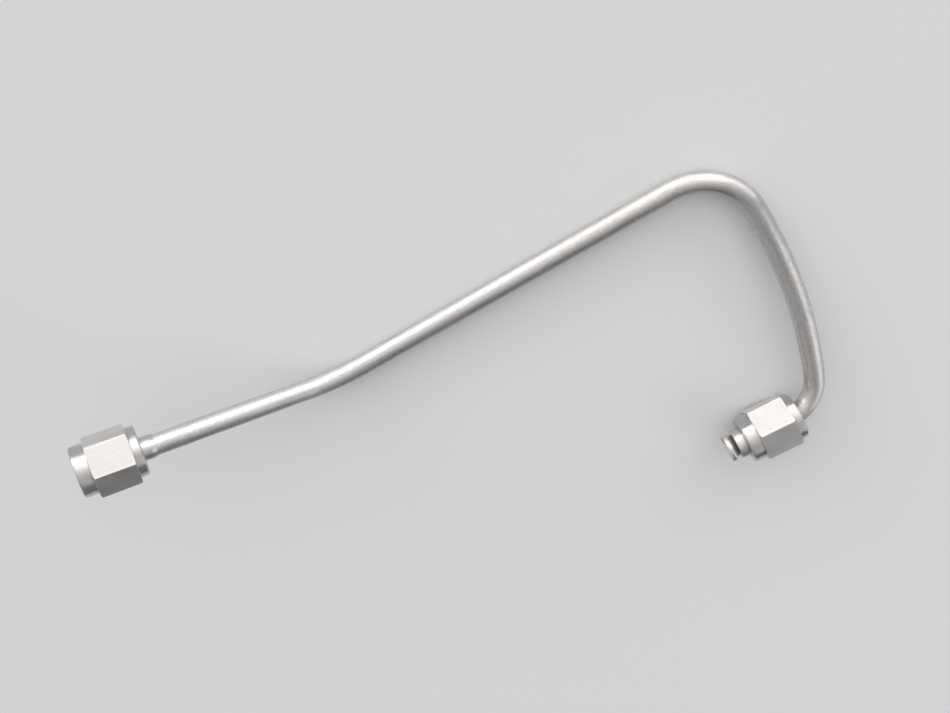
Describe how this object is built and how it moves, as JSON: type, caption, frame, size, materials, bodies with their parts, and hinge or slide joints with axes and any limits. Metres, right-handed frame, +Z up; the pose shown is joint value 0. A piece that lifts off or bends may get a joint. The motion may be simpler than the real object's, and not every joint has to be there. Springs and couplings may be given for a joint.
{
  "type": "bent tube assembly",
  "caption": "Bent steel tube, flared at its ends, carrying loose sleeves and hexagonal coupling nuts that screw it onto fluid fittings.",
  "frame": {"origin": "middle of the part's box, on the floor", "axes": "+X along the part's length, from the raised end to the leg; +Y towards the top bend; +Z up"},
  "size_m": [0.2232, 0.093, 0.0481],
  "materials": {
    "tube": "satin, drawn lengthways",
    "sleeve": "satin, turned",
    "nut": "satin, turned collars and drawn flats"
  },
  "bodies": {
    "tube": {"tube": "tube"},
    "left_sleeve": {"left_sleeve": "sleeve"},
    "left_nut": {"left_coupling_nut": "nut"},
    "right_sleeve": {"right_sleeve": "sleeve"},
    "right_nut": {"right_coupling_nut": "nut"}
  },
  "joints": [
    {"name": "left_sleeve_slide", "type": "slide", "parent": "tube", "child": "left_sleeve", "axis": [-0.8696, -0.0895, 0.4855], "range_m": [-0.048, 0]},
    {"name": "left_nut_swivel", "type": "hinge", "parent": "left_sleeve", "child": "left_nut", "pos_m": [-0.10205, -0.02731, 0.03832], "axis": [-0.8696, -0.0895, 0.4855], "continuous": true},
    {"name": "right_sleeve_slide", "type": "slide", "parent": "tube", "child": "right_sleeve", "axis": [-0.8804, -0.4527, 0.1414], "range_m": [0, 0.0016]},
    {"name": "right_nut_swivel", "type": "hinge", "parent": "right_sleeve", "child": "right_nut", "pos_m": [0.08344, -0.04254, 0.01089], "axis": [-0.8804, -0.4527, 0.1414], "continuous": true}
  ]
}
